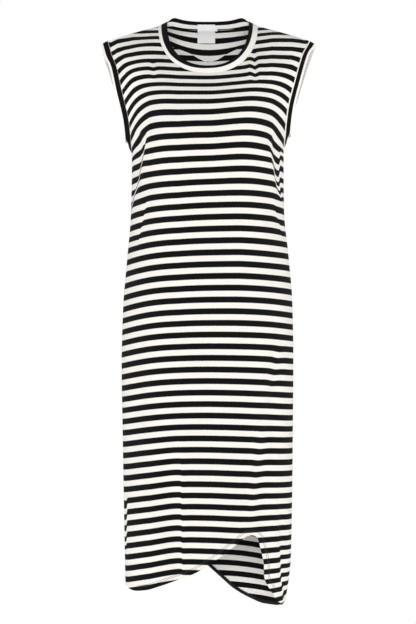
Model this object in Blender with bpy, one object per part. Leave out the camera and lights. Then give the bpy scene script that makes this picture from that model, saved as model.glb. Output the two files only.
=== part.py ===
"""A striped tank dress, filled out as if worn, with nobody in it.

Metres, +Z up. The front faces -Y and the image's right is +X. The origin is on the shoulder line, between the
shoulders, where the wearer holds the dress up.

Each panel is a surface of two coordinates. "Turn" runs from -1 at the left side to 1 at the right side, and
"level" runs down the panel, counted in black stripes from the base of the neck. Tables below give the panel's
middle and its two edges at a few levels. Everything sewn to a panel is made from that panel's own points.
"""

import math

import bpy
import numpy as np

MM = 0.001

# Cloth, in millimetres.
WALL = 1.5
SEAM_GAP = 0.3
BAND_WIDTH = 17.0
BAND_THICKNESS = 2.4
BAND_CLEARANCE = 1.5  # how many seam gaps a band's root stands off the panel
FACING_THICKNESS = 1.0
BINDING_WIDTH = 7.0
LABEL_WIDTH, SIZE_TAB_WIDTH, LABEL_THICKNESS = 36.5, 12.0, 0.8
STRIPE_PITCH = 23.3  # from one black stripe to the next, down the skirt

# Neck, seen from the front. It is a superellipse that hangs from the two neck points.
NECK_HALF_WIDTH = 102.0
FRONT_NECK_BOTTOM = -92.5
BACK_NECK_BOTTOM = 10.0
NECK_ROUNDNESS = 2.2
ABOVE_SHOULDERS = 60.0

# Levels: the shoulder seam in each panel's middle, the underarm and the lowest level that the tables reach.
FRONT_RIDGE, BACK_RIDGE = -2.0, -0.85
UNDERARM = 11.7
LOWEST = 55.0

# Grid of each panel.
SHOULDER_COLUMNS, NECK_COLUMNS = 8, 14
YOKE_ROWS, SKIRT_ROWS = 16, 25
ROW_CROWDING = 0.55  # how much closer the yoke's rows lie at its top and at the underarm, 1 being all the way
HEM_EASE = 0.7  # the share of the skirt where the columns start to lean to their places on the hem
TURN_STEP, LEVEL_STEP = 0.004, 0.04  # over which slopes are measured
LOCATE_STEPS, LOCATE_PACE = 80, 0.6  # to find a point by its place seen from the front
FINE = 1200  # points along a curve before it is shared out
AT_SEAM, TINY = 1e-4, 1e-9  # turns this close to a side count as its seam, and areas this small as none
TAB_COLUMNS, TAB_ROWS = 4, 8
CREASE_ANGLE = 50.0  # degrees, past which an edge is shaded sharp

# Middle of each panel: level, y, z, how full the section is there (1 is an arc, 0.5 a half ellipse).
MIDDLE_COLUMNS = ("level", "y", "z", "fullness")
FRONT_MIDDLE = (
    (-2.0, 22, 33, 1.00),
    (1.0, -25, -11, 1.00),
    (3.0, -55, -46, 1.00),
    (6.0, -100, -99, 1.00),
    (9.0, -135, -150, 0.85),
    (10.5, -145, -183, 0.70),
    (11.4, -149, -204, 0.56),
    (11.7, -150, -211, 0.50),
    (14.0, -152, -265, 0.50),
    (18.0, -146, -358, 0.50),
    (26.0, -141, -545, 0.50),
    (37.0, -125, -800, 0.50),
    (49.0, -102, -1071, 0.50),
    (55.0, -90, -1203, 0.50),
)
BACK_MIDDLE = (
    (-0.85, 22, 33, 1.00),
    (1.0, 54, 3, 1.00),
    (3.0, 70, -40, 1.00),
    (6.0, 83, -105, 1.00),
    (9.0, 91, -171, 0.85),
    (10.5, 92, -204, 0.70),
    (11.4, 92, -224, 0.56),
    (11.7, 92, -231, 0.50),
    (14.0, 90, -281, 0.50),
    (18.0, 84, -369, 0.50),
    (26.0, 82, -545, 0.50),
    (37.0, 96, -786, 0.50),
    (49.0, 88, -1050, 0.50),
    (55.0, 84, -1182, 0.50),
)

# Armhole edges and side seams: level, x, y, z.
EDGE_COLUMNS = ("level", "x", "y", "z")
FRONT_ARMHOLE_LEFT = (
    (-2.0, -205, 0, -16),
    (1.0, -195, -19, -50),
    (3.0, -187, -32, -70),
    (6.0, -174, -50, -126),
    (9.0, -160, -47, -189),
    (10.5, -157, -37, -221),
    (11.4, -156, -18, -240),
    (11.7, -156, 0, -246),
)
FRONT_ARMHOLE_RIGHT = (
    (-2.0, 207, 0, -16),
    (1.0, 200, -13, -30),
    (3.0, 193, -22, -43),
    (6.0, 175, -48, -103),
    (9.0, 160, -48, -167),
    (10.5, 156, -38, -207),
    (11.4, 155, -18, -230),
    (11.7, 155, 0, -236),
)
BACK_ARMHOLE_LEFT = (
    (-0.85, -205, 0, -16),
    (1.0, -198, 19, -46),
    (3.0, -189, 33, -78),
    (6.0, -173, 46, -134),
    (9.0, -159, 44, -192),
    (10.5, -156, 33, -223),
    (11.4, -156, 16, -240),
    (11.7, -156, 0, -246),
)
BACK_ARMHOLE_RIGHT = (
    (-0.85, 207, 0, -16),
    (1.0, 199, 19, -40),
    (3.0, 190, 33, -70),
    (6.0, 173, 46, -126),
    (9.0, 158, 44, -180),
    (10.5, 156, 33, -211),
    (11.4, 155, 16, -230),
    (11.7, 155, 0, -236),
)
SIDE_SEAM_LEFT = (
    (11.7, -156, 0, -246),
    (14.0, -156, 0, -281),
    (18.0, -158, 0, -371),
    (22.0, -166, 0, -468),
    (26.0, -174, 0, -565),
    (31.0, -177, 0, -681),
    (37.0, -175, 0, -817),
    (49.0, -170, 0, -1093),
    (55.0, -167, 0, -1230),
)
SIDE_SEAM_RIGHT = (
    (11.7, 155, 0, -236),
    (14.0, 155, 0, -279),
    (18.0, 156, 0, -365),
    (22.0, 165, 0, -457),
    (26.0, 173, 0, -555),
    (31.0, 175, 0, -671),
    (37.0, 174, 0, -807),
    (49.0, 170, 0, -1071),
    (53.6, 159, 0, -1163),
    (55.0, 154, 0, -1190),
)

# How the stripes run between the middle and an edge: the power by which they droop to it, and how far they
# rise first, on the left and on the right.
DROOP_COLUMNS = ("level", "power", "rise_left", "rise_right")
FRONT_DROOP = (
    (-2.0, 1.5, 0, 0),
    (1.0, 3.5, 0, 3),
    (3.0, 7.0, 0, 5),
    (6.0, 9.0, 3, 8),
    (9.0, 7.5, 2, 7),
    (11.7, 6.0, -2, 5),
    (14.0, 4.0, 0, 3),
    (18.0, 3.0, 0, 1),
    (26.0, 2.7, 0, 0),
    (55.0, 2.5, 0, 0),
)
BACK_DROOP = (
    (-0.85, 1.5, 0, 0),
    (3.0, 3.0, 0, 0),
    (9.0, 4.0, 0, 0),
    (14.0, 3.5, 0, 0),
    (55.0, 2.0, 0, 0),
)
RISE_ENDS = 0.62  # the share of the half width where the rise is complete
SECTION_ROUNDNESS = 2.25  # 2 is an ellipse, and more is fuller at the corners

# Largest folds, as lines seen from the front: depth is positive for a ridge and negative for a trough.
FOLD_COLUMNS = ("x0", "z0", "x1", "z1", "width", "depth")
FRONT_FOLDS = (
    (-137, -205, -151, -330, 9, -9),
    (133, -205, 151, -345, 9, -9),
    (-119, -215, -137, -330, 14, 3),
    (118, -210, 139, -345, 14, 3),
    (-134, -660, -160, -950, 15, -4),
    (146, -640, 92, -1010, 20, -6),
    (118, -640, 64, -980, 24, 3),
    (-52, -800, -50, -1130, 12, 3),
    (-76, -790, -80, -1130, 17, -4),
    (151, -930, 154, -1160, 8, -5),
    (10, -820, 14, -1120, 26, -2.5),
)
BACK_FOLDS = (
    (-60, -250, -95, -900, 26, -7),
    (-20, -380, -28, -1100, 28, 5),
    (52, -300, 78, -1000, 26, -7),
    (118, -420, 128, -1120, 24, 5),
    (-132, -230, -150, -420, 14, -6),
    (130, -225, 148, -410, 14, -6),
    (12, -700, 26, -1110, 22, -5),
    (-120, -500, -132, -1080, 22, 4),
)
SEAM_HOLD = 10.0  # the power by which folds die out at a panel's sides
FOLD_START, FOLD_END = (-0.05, 0.3), (0.7, 1.05)  # the shares of a fold's length over which it swells and fades

# Hems, seen from the front: x, z, left to right.
FRONT_HEM = (
    (-168, -1131),
    (-163, -1138),
    (-150, -1143),
    (-127, -1140),
    (-97, -1130),
    (-56, -1112),
    (-26, -1100),
    (-4, -1087),
    (20, -1070),
    (44, -1052),
    (66, -1035),
    (78, -1026),
    (87, -1023),
    (97, -1026),
    (105, -1036),
    (109, -1053),
    (112, -1070),
    (116, -1086),
    (118, -1100),
    (119, -1113),
    (122, -1126),
    (129, -1137),
    (135, -1150),
    (141, -1163),
    (150, -1166),
    (158, -1163),
)
BACK_HEM = (
    (-168, -1131),
    (-160, -1136),
    (-146, -1137),
    (-133, -1128),
    (-122, -1113),
    (-114, -1092),
    (-110, -1072),
    (-106, -1052),
    (-99, -1037),
    (-88, -1031),
    (-76, -1036),
    (-60, -1049),
    (-42, -1065),
    (-20, -1084),
    (-2, -1100),
    (25, -1124),
    (56, -1150),
    (88, -1167),
    (118, -1177),
    (141, -1178),
    (153, -1174),
    (159, -1163),
)
HEM_STEEPNESS = 0.4  # how much a hem's rise counts, against its run, when the columns are shared out along it

# The half-moon facing inside the back neck: x, z of its lower edge, seen from the front.
FACING_EDGE = (
    (-97, 8),
    (-88, -8),
    (-75, -21),
    (-56, -27),
    (-37, -34),
    (-18, -45),
    (0, -51),
    (18, -47),
    (36, -37),
    (54, -28),
    (75, -20),
    (88, -8),
    (97, 8),
)

# The way each band stands off its panel: place round the loop, and x, y, z of its direction. On an armhole, x
# runs out of the dress and y towards the middle of the armhole.
NECK_STAND = {"front": (0, 0.30, 0.95), "side": (0.93, 0, 0.37), "back": (0, -0.15, 0.99)}
ARMHOLE_STAND = {"shoulder": (0.86, 0, -0.5), "middle": (0.9, 0.42, -0.05), "underarm": (0.45, 0, 0.89)}
# The shares of the way down an armhole over which the band turns from one direction to the next.
SHOULDER_TURN, UNDERARM_TURN = (0, 0.35), (0.7, 1)
NECK_HEEL = 1.5  # how fast the direction at the sides of the neck gives way to the front's and the back's

FACING_COLUMNS, FACING_ROWS = 24, 5
FACING_DROP = 1.0  # how far the facing starts below the neck seam
LAID_GAP = 0.5  # between the back panel and what lies on its inner face
BAND_SWELL = 1.0  # how far the folded band pushes the label in

# Tabs at the back neck: the middle across, then the top and bottom.
LABEL_CENTRE_X, LABEL_SPAN = -3.5, (25.0, -13.0)
SIZE_TAB_CENTRE_X, SIZE_TAB_SPAN = 13.5, (21.0, 11.0)


def monotone(xs, ys, x):
    """Reads a smooth curve through the points at x, with no overshoot between them."""
    xs, ys = np.asarray(xs, float), np.asarray(ys, float)
    step = np.diff(xs)
    slope = np.diff(ys) / step
    tangent = np.zeros(len(xs))
    tangent[0], tangent[-1] = slope[0], slope[-1]
    same_way = slope[:-1] * slope[1:] > 0
    before, after = 2 * step[1:] + step[:-1], step[1:] + 2 * step[:-1]
    with np.errstate(divide="ignore", invalid="ignore"):
        mean = (before + after) / (before / slope[:-1] + after / slope[1:])
    tangent[1:-1] = np.where(same_way, mean, 0)
    x = np.clip(x, xs[0], xs[-1])
    i = np.clip(np.searchsorted(xs, x, side="right") - 1, 0, len(xs) - 2)
    t = (x - xs[i]) / step[i]
    start = (1 + 2 * t) * (1 - t) ** 2 * ys[i] + t * (1 - t) ** 2 * step[i] * tangent[i]
    end = t**2 * (3 - 2 * t) * ys[i + 1] + t**2 * (t - 1) * step[i] * tangent[i + 1]
    return start + end


def read(table, columns, name, x):
    """One named column of a table, at level x."""
    place = columns.index(name)
    return monotone([row[0] for row in table], [row[place] for row in table], x)


def smoothstep(low, high, x):
    t = np.clip((x - low) / (high - low), 0, 1)
    return t * t * (3 - 2 * t)


def unit(vectors):
    return vectors / np.linalg.norm(vectors, axis=-1, keepdims=True)


FRONT = {
    "middle": FRONT_MIDDLE,
    "armholes": (FRONT_ARMHOLE_LEFT, FRONT_ARMHOLE_RIGHT),
    "droop": FRONT_DROOP,
    "folds": FRONT_FOLDS,
    "hem": FRONT_HEM,
    "ridge": FRONT_RIDGE,
    "neck_bottom": FRONT_NECK_BOTTOM,
    "outward": -1,
}
BACK = {
    "middle": BACK_MIDDLE,
    "armholes": (BACK_ARMHOLE_LEFT, BACK_ARMHOLE_RIGHT),
    "droop": BACK_DROOP,
    "folds": BACK_FOLDS,
    "hem": BACK_HEM,
    "ridge": BACK_RIDGE,
    "neck_bottom": BACK_NECK_BOTTOM,
    "outward": 1,
}


def edge(panel, side, level, name):
    """A column of the armhole above the underarm and of the side seam below it. side is 0 left or 1 right."""
    armhole = read(panel["armholes"][side], EDGE_COLUMNS, name, np.minimum(level, UNDERARM))
    seam = read((SIDE_SEAM_LEFT, SIDE_SEAM_RIGHT)[side], EDGE_COLUMNS, name, np.maximum(level, UNDERARM))
    return np.where(level < UNDERARM, armhole, seam)


def smooth_panel(panel, turn, level):
    """Points of the panel without its folds, in millimetres. Their last axis is x, y, z."""
    turn, level = np.broadcast_arrays(np.asarray(turn, float), np.asarray(level, float))
    across = np.sin(turn * math.pi / 2)
    share = np.abs(across)
    on_left = across < 0

    def side(name):
        return np.where(on_left, edge(panel, 0, level, name), edge(panel, 1, level, name))

    left_x, right_x = edge(panel, 0, level, "x"), edge(panel, 1, level, "x")
    x = (left_x + right_x) / 2 + across * (right_x - left_x) / 2
    fullness = read(panel["middle"], MIDDLE_COLUMNS, "fullness", level)
    bulge = np.maximum(1 - share**SECTION_ROUNDNESS, 0) ** fullness
    y = side("y") + (read(panel["middle"], MIDDLE_COLUMNS, "y", level) - side("y")) * bulge
    rise = np.where(
        on_left,
        read(panel["droop"], DROOP_COLUMNS, "rise_left", level),
        read(panel["droop"], DROOP_COLUMNS, "rise_right", level),
    )
    droop = share ** read(panel["droop"], DROOP_COLUMNS, "power", level)
    middle_z = read(panel["middle"], MIDDLE_COLUMNS, "z", level)
    risen = rise * smoothstep(0, RISE_ENDS, share)
    z = middle_z + risen + (side("z") - middle_z - rise) * droop
    y = y + panel["outward"] * SEAM_GAP / 2
    return np.stack([x, y, z], -1)


def outward_normal(panel, turn, level):
    """Unit normals of the smooth panel, pointing out of the dress."""
    turn, level = np.broadcast_arrays(np.asarray(turn, float), np.asarray(level, float))
    low, high = np.maximum(turn - TURN_STEP, -1), np.minimum(turn + TURN_STEP, 1)
    along = smooth_panel(panel, high, level) - smooth_panel(panel, low, level)
    down = smooth_panel(panel, turn, level + LEVEL_STEP) - smooth_panel(panel, turn, level - LEVEL_STEP)
    return unit(np.cross(down, along)) * -panel["outward"]


def fold_height(panel, points, turn):
    """How far the folds raise the panel at these points, in millimetres."""
    height = np.zeros(points.shape[:-1])
    for row in panel["folds"]:
        fold = dict(zip(FOLD_COLUMNS, row))
        run = np.array([fold["x1"] - fold["x0"], fold["z1"] - fold["z0"]], float)
        from_start = points[..., [0, 2]] - np.array([fold["x0"], fold["z0"]])
        along = from_start @ run / (run @ run)
        off = (from_start[..., 0] * run[1] - from_start[..., 1] * run[0]) / np.hypot(*run)
        ends = smoothstep(*FOLD_START, along) * (1 - smoothstep(*FOLD_END, along))
        height += fold["depth"] * ends * np.exp(-((off / fold["width"]) ** 2))
    across = np.abs(np.sin(turn * math.pi / 2))
    return height * (1 - across**SEAM_HOLD)


def panel_point(panel, turn, level, inward=0.0):
    """Points on the panel with its folds, moved in from its outer face by so many millimetres."""
    turn, level = np.broadcast_arrays(np.asarray(turn, float), np.asarray(level, float))
    points = smooth_panel(panel, turn, level)
    normal = outward_normal(panel, turn, level)
    height = fold_height(panel, points, turn)
    # At a seam the wall's end lies in the plane between the two panels.
    at_seam = (np.abs(turn) > 1 - AT_SEAM) | (level < panel["ridge"] + AT_SEAM)
    flat = unit(normal * np.array([1, 0, 1]))
    normal = np.where(at_seam[..., None], flat, normal)
    return points + normal * (height - inward)[..., None]


def locate(panel, x, z):
    """The turn and level of the point that is seen from the front at x, z."""
    x, z = np.asarray(x, float), np.asarray(z, float)
    level = np.clip(-z / STRIPE_PITCH, panel["ridge"], LOWEST)
    turn = np.zeros_like(x)
    for _ in range(LOCATE_STEPS):
        left_x, right_x = edge(panel, 0, level, "x"), edge(panel, 1, level, "x")
        across = np.clip((2 * x - left_x - right_x) / (right_x - left_x), -1, 1)
        turn = np.arcsin(across) * 2 / math.pi
        level = level + (smooth_panel(panel, turn, level)[..., 2] - z) / STRIPE_PITCH * LOCATE_PACE
        level = np.clip(level, panel["ridge"], LOWEST)
    return turn, level


def curve_through(points, count, steepness=1.0):
    """count + 1 points along a smooth curve through x, z points, shared out by its run and rise."""
    points = np.array(points, float)
    chord = np.hypot(np.diff(points[:, 0]), np.diff(points[:, 1]))
    place = np.concatenate([[0], np.cumsum(chord)])
    fine = np.linspace(0, place[-1], FINE)
    x, z = monotone(place, points[:, 0], fine), monotone(place, points[:, 1], fine)
    cost = np.concatenate([[0], np.cumsum(np.hypot(np.diff(x), np.diff(z) * steepness))])
    even = np.linspace(0, cost[-1], count + 1)
    return np.interp(even, cost, x), np.interp(even, cost, z)


def neck_curve(panel, count):
    """Turns and levels of the panel's neck edge, from its left neck point to its right one."""
    left_turn, _ = locate(panel, -NECK_HALF_WIDTH, ABOVE_SHOULDERS)
    right_turn, _ = locate(panel, NECK_HALF_WIDTH, ABOVE_SHOULDERS)
    ends_z = smooth_panel(panel, np.array([left_turn, right_turn]), panel["ridge"])[:, 2].mean()
    angle = np.linspace(-math.pi / 2, math.pi / 2, count + 1)
    power = 2 / NECK_ROUNDNESS
    x = NECK_HALF_WIDTH * np.sign(np.sin(angle)) * np.abs(np.sin(angle)) ** power
    z = ends_z + (panel["neck_bottom"] - ends_z) * np.maximum(np.cos(angle), 0) ** power
    turn, level = locate(panel, x, z)
    turn[0], turn[-1] = left_turn, right_turn
    level[0] = level[-1] = panel["ridge"]
    return turn, level


def yoke_rows():
    """Shares of the way down the yoke, closer together at both ends."""
    down = np.linspace(0, 1, YOKE_ROWS + 1)
    return down - ROW_CROWDING * np.sin(2 * math.pi * down) / (2 * math.pi)


def panel_grid(panel):
    """Turns and levels of a panel's grid, its rows from the shoulders and neck down to the hem."""
    neck_turn, neck_level = neck_curve(panel, NECK_COLUMNS)
    left = np.linspace(-1, neck_turn[0], SHOULDER_COLUMNS + 1)[:-1]
    right = np.linspace(neck_turn[-1], 1, SHOULDER_COLUMNS + 1)[1:]
    top_turn = np.concatenate([left, neck_turn, right])
    ridge = np.full(SHOULDER_COLUMNS, panel["ridge"])
    top_level = np.concatenate([ridge, neck_level, ridge])
    columns = len(top_turn) - 1
    even_turn = np.linspace(-1, 1, columns + 1)

    hem_turn, hem_level = locate(panel, *curve_through(panel["hem"], columns, HEM_STEEPNESS))
    hem_turn[0], hem_turn[-1] = -1, 1
    for side, last in ((0, 0), (1, -1)):
        seam = (SIDE_SEAM_LEFT, SIDE_SEAM_RIGHT)[side]
        z_down = [-row[EDGE_COLUMNS.index("z")] for row in seam]
        hem_level[last] = np.interp(-panel["hem"][last][1], z_down, [row[0] for row in seam])

    down = yoke_rows()[:, None]
    yoke_turn = top_turn + (even_turn - top_turn) * smoothstep(0, 1, down)
    yoke_level = top_level + (UNDERARM - top_level) * down
    down = np.linspace(0, 1, SKIRT_ROWS + 1)[1:, None]
    skirt_turn = even_turn + (hem_turn - even_turn) * smoothstep(HEM_EASE, 1, down)
    skirt_level = UNDERARM + (hem_level - UNDERARM) * down
    return np.concatenate([yoke_turn, skirt_turn]), np.concatenate([yoke_level, skirt_level])


def make_object(name, points, faces, material):
    """An object from points in millimetres, its faces turned outwards."""
    points = np.asarray(points, float) * MM
    faces = [(face[0], face[i], face[i + 1]) for face in faces for i in range(1, len(face) - 1)]
    a, b, c = (points[[face[i] for face in faces]] for i in range(3))
    if np.einsum("ij,ij->i", a, np.cross(b, c)).sum() < 0:
        faces = [tuple(reversed(face)) for face in faces]
    mesh = bpy.data.meshes.new(name)
    mesh.from_pydata(points.tolist(), [], faces)
    mesh.validate()
    mesh.shade_smooth()
    mesh.set_sharp_from_angle(angle=math.radians(CREASE_ANGLE))
    mesh.materials.append(material)
    thing = bpy.data.objects.new(name, mesh)
    bpy.context.scene.collection.objects.link(thing)
    return thing


def sheet(name, outer, inner, material):
    """A closed wall between two grids of points."""
    rows, columns = outer.shape[:2]

    def number(layer, i, j):
        return (layer * rows + i) * columns + j

    faces = []
    for i in range(rows - 1):
        for j in range(columns - 1):
            square = ((i, j), (i, j + 1), (i + 1, j + 1), (i + 1, j))
            faces.append(tuple(number(0, *corner) for corner in square))
            faces.append(tuple(number(1, *square[k]) for k in (0, 3, 2, 1)))
    rim = [(0, j) for j in range(columns - 1)]
    rim += [(i, columns - 1) for i in range(rows - 1)]
    rim += [(rows - 1, j) for j in range(columns - 1, 0, -1)]
    rim += [(i, 0) for i in range(rows - 1, 0, -1)]
    for here, there in zip(rim, rim[1:] + rim[:1]):
        faces.append((number(0, *there), number(0, *here), number(1, *here), number(1, *there)))
    points = np.concatenate([outer.reshape(-1, 3), inner.reshape(-1, 3)])
    return make_object(name, points, faces, material)


def make_panel(name, panel, material):
    turn, level = panel_grid(panel)
    return sheet(name, panel_point(panel, turn, level), panel_point(panel, turn, level, WALL), material)


def band(name, edge_out, edge_in, stand, material):
    """A folded strip round a loop. edge_out and edge_in are the outer and inner rim of the panels' edge."""
    tangent = unit(np.roll(edge_out, -1, 0) - np.roll(edge_out, 1, 0))
    stand = unit(stand)
    across = unit(np.cross(tangent, stand))
    facing_out = np.sign(np.einsum("ij,ij->i", across, edge_out - edge_in))[:, None]
    half = across * facing_out * BAND_THICKNESS / 2
    root = (edge_out + edge_in) / 2
    shoulder = root + stand * (BAND_WIDTH - BAND_THICKNESS / 2)
    off_panel = unit(np.cross(tangent, edge_out - edge_in))
    off_panel = off_panel * np.sign(np.einsum("ij,ij->i", off_panel, stand))[:, None]
    clear = unit(off_panel + stand) * SEAM_GAP * BAND_CLEARANCE
    section = (
        edge_out + clear,
        shoulder + half,
        root + stand * BAND_WIDTH,
        shoulder - half,
        edge_in + clear,
    )
    count, sides = len(root), len(section)
    faces = []
    for i in range(count):
        for k in range(sides):
            j, m = (i + 1) % count, (k + 1) % sides
            faces.append((i * sides + k, j * sides + k, j * sides + m, i * sides + m))
    return make_object(name, np.stack(section, 1).reshape(-1, 3), faces, material)


def neck_loop(inward):
    """Points round the neck edge of both panels, from the left neck point along the front and back again."""
    front = panel_point(FRONT, *neck_curve(FRONT, NECK_COLUMNS), inward)
    back = panel_point(BACK, *neck_curve(BACK, NECK_COLUMNS), inward)
    return np.concatenate([front[1:-1], seam_point(front[-1], back[-1]), back[-2:0:-1], seam_point(front[0], back[0])])


def seam_point(front, back):
    """The point between two panels' corners, as a row."""
    return ((front + back) / 2)[None]


def neck_stand(count):
    """The direction in which the neck band stands, for each point of the neck's loop."""
    place = (np.arange(count) + 1) / count * 2 * math.pi
    along_x, to_front = -np.cos(place), np.sin(place)
    front, side, back = (np.array(NECK_STAND[key], float) for key in ("front", "side", "back"))
    stand = np.where(to_front[:, None] > 0, front, back) * (to_front**2)[:, None]
    sideways = side * np.stack([-np.sign(along_x), np.ones(count), np.ones(count)], 1)
    return stand + sideways * (np.abs(along_x) ** NECK_HEEL)[:, None]


def armhole_loop(side, inward):
    """Points round an armhole, from the shoulder down the front and up the back. side is -1 or 1."""
    down = yoke_rows()
    front_level = FRONT_RIDGE + (UNDERARM - FRONT_RIDGE) * down
    back_level = BACK_RIDGE + (UNDERARM - BACK_RIDGE) * down
    front = panel_point(FRONT, np.full(YOKE_ROWS + 1, side), front_level, inward)
    back = panel_point(BACK, np.full(YOKE_ROWS + 1, side), back_level, inward)
    return np.concatenate(
        [seam_point(front[0], back[0]), front[1:-1], seam_point(front[-1], back[-1]), back[-2:0:-1]]
    )


def armhole_stand(side):
    """The direction in which an armhole band stands, for each point of its loop."""
    down = yoke_rows()
    round_loop = np.concatenate([down, down[-2:0:-1]])[:, None]
    shoulder, middle, underarm = (
        np.array(ARMHOLE_STAND[key], float) for key in ("shoulder", "middle", "underarm")
    )
    stand = shoulder + (middle - shoulder) * smoothstep(*SHOULDER_TURN, round_loop)
    stand = stand + (underarm - middle) * smoothstep(*UNDERARM_TURN, round_loop)
    to_middle = np.where(np.arange(len(stand)) < YOKE_ROWS + 1, 1, -1)
    return stand * np.stack([np.full(len(stand), side), to_middle, np.ones(len(stand))], 1)


def back_inside():
    """The grid of points on the back panel's inner face."""
    return panel_point(BACK, *panel_grid(BACK), WALL)


def on_facets(grid, x, z, inward):
    """Points over a grid's flat facets, seen from the front at x, z, and set off them towards the front."""
    a, b, c, d = grid[:-1, :-1], grid[:-1, 1:], grid[1:, 1:], grid[1:, :-1]
    corners = np.stack([np.stack([a, b, c], -2), np.stack([a, c, d], -2)]).reshape(-1, 3, 3)
    normals = unit(np.cross(corners[:, 1] - corners[:, 0], corners[:, 2] - corners[:, 0]))
    normals = normals * np.where(normals[:, 1] > 0, -1, 1)[:, None]
    flat = corners[..., [0, 2]]
    side_1, side_2 = flat[:, 1] - flat[:, 0], flat[:, 2] - flat[:, 0]
    area = side_1[:, 0] * side_2[:, 1] - side_1[:, 1] * side_2[:, 0]
    area = np.where(np.abs(area) < TINY, TINY, area)
    found = []
    for here in np.stack([np.ravel(x), np.ravel(z)], -1):
        off = here - flat[:, 0]
        u = (off[:, 0] * side_2[:, 1] - off[:, 1] * side_2[:, 0]) / area
        v = (side_1[:, 0] * off[:, 1] - side_1[:, 1] * off[:, 0]) / area
        best = np.argmax(np.minimum(np.minimum(u, v), 1 - u - v))
        at = corners[best, 0] + u[best] * (corners[best, 1] - corners[best, 0])
        at = at + v[best] * (corners[best, 2] - corners[best, 0])
        found.append(at + normals[best] * inward)
    return np.array(found).reshape(*np.shape(x), 3)


def strip_inside_back(name, x, z, off, thickness, material):
    """A thin closed piece that lies inside the back panel, over a grid of x, z points."""
    inside = back_inside()
    near, far = on_facets(inside, x, z, off), on_facets(inside, x, z, off + thickness)
    return sheet(name, near, far, material)


def make_facing(material):
    """The half-moon of cloth inside the back neck, just under the neck band."""
    low_x, low_z = curve_through(FACING_EDGE, FACING_COLUMNS)
    neck = panel_point(BACK, *neck_curve(BACK, NECK_COLUMNS), WALL)
    high_z = np.interp(low_x, neck[:, 0], neck[:, 2]) - FACING_DROP
    low_z = np.minimum(low_z, high_z - FACING_DROP)
    down = np.linspace(0, 1, FACING_ROWS + 1)[:, None]
    z = high_z + (low_z - high_z) * down
    x = np.broadcast_to(low_x, z.shape)
    strip_inside_back("back_neck_facing", x, z, LAID_GAP, FACING_THICKNESS, material)


def make_hem_binding(material):
    """The narrow black strip inside the back's hem."""
    edge_points = back_inside()[-1, 1:-1][:, [0, 2]]
    tangent = unit(np.gradient(edge_points, axis=0))
    up = np.stack([-tangent[:, 1], tangent[:, 0]], 1)
    rows = np.array([BINDING_WIDTH, BINDING_WIDTH / 2, 0])[:, None, None]
    places = edge_points + up * rows
    strip_inside_back("back_hem_binding", places[..., 0], places[..., 1], LAID_GAP, FACING_THICKNESS, material)


def make_tab(name, centre_x, top, bottom, width, off, material):
    """A woven tab inside the back neck. It lies on the band, and below the neck seam on the facing."""
    seam_z = BACK_NECK_BOTTOM - FACING_DROP
    x = centre_x + np.linspace(-width / 2, width / 2, TAB_COLUMNS + 1)
    z = np.linspace(top, bottom, TAB_ROWS + 1)
    grid_x, grid_z = np.meshgrid(x, z)
    lean = np.array(NECK_STAND["back"])
    up = np.maximum(grid_z - seam_z, 0)[..., None]
    rest = on_facets(back_inside(), grid_x, np.minimum(grid_z, seam_z), off)
    swell = BAND_SWELL * np.minimum(up / BAND_WIDTH * 2, 1)
    face = rest + up * lean / lean[2] - swell * np.array([0, 1, 0])
    return sheet(name, face, face - np.array([0, LABEL_THICKNESS, 0]), material)


def cloth(name, colour, roughness):
    material = bpy.data.materials.new(name)
    material.use_nodes = True
    shader = material.node_tree.nodes["Principled BSDF"]
    shader.inputs["Base Color"].default_value = (*colour, 1)
    shader.inputs["Roughness"].default_value = roughness
    shader.inputs["Metallic"].default_value = 0
    return material


def build():
    for thing in list(bpy.data.objects):
        bpy.data.objects.remove(thing, do_unlink=True)
    jersey = cloth("striped_jersey", (0.45, 0.44, 0.42), 0.9)
    white = cloth("band_jersey", (0.75, 0.73, 0.69), 0.9)
    black = cloth("black_binding", (0.02, 0.02, 0.02), 0.85)
    woven = cloth("woven_label", (0.8, 0.8, 0.78), 0.7)

    make_panel("front_panel", FRONT, jersey)
    make_panel("back_panel", BACK, jersey)
    outer, inner = neck_loop(0), neck_loop(WALL)
    band("neck_band", outer, inner, neck_stand(len(outer)), white)
    for name, side in (("armhole_band_left", -1), ("armhole_band_right", 1)):
        band(name, armhole_loop(side, 0), armhole_loop(side, WALL), armhole_stand(side), white)
    make_facing(jersey)
    make_hem_binding(black)
    tab_off = LAID_GAP + FACING_THICKNESS + SEAM_GAP
    make_tab("size_tab", SIZE_TAB_CENTRE_X, *SIZE_TAB_SPAN, SIZE_TAB_WIDTH, tab_off, woven)
    make_tab("neck_label", LABEL_CENTRE_X, *LABEL_SPAN, LABEL_WIDTH, tab_off + LABEL_THICKNESS + SEAM_GAP, woven)


build()
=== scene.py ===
"""Dresses the solids of a striped tank dress in jersey, with its bands, facing, label and stitching.

The frame is in metres, +Z up, with the dress's front towards -Y. The tables and the shapes made from them are
in millimetres. A panel's "turn" runs from -1 at its left side to 1 at its right, and its "level" counts the
black stripes down its middle.
"""

import math

import bpy
import numpy as np
from bpy.props import FloatProperty, FloatVectorProperty, IntProperty, PointerProperty
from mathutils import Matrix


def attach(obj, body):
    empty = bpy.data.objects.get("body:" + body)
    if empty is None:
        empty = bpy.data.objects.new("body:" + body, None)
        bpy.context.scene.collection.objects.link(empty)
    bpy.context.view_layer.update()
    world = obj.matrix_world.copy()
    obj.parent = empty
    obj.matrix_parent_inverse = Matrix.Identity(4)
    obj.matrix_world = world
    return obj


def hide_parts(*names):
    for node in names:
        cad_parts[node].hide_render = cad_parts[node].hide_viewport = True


bl_info = {
    "name": "Striped Tank Dress",
    "version": (1, 0, 0),
    "blender": (4, 5, 0),
    "location": "View3D > Sidebar > Tank Dress",
    "description": "Makes a striped jersey tank dress around its packed solids",
    "category": "Object",
}

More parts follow.
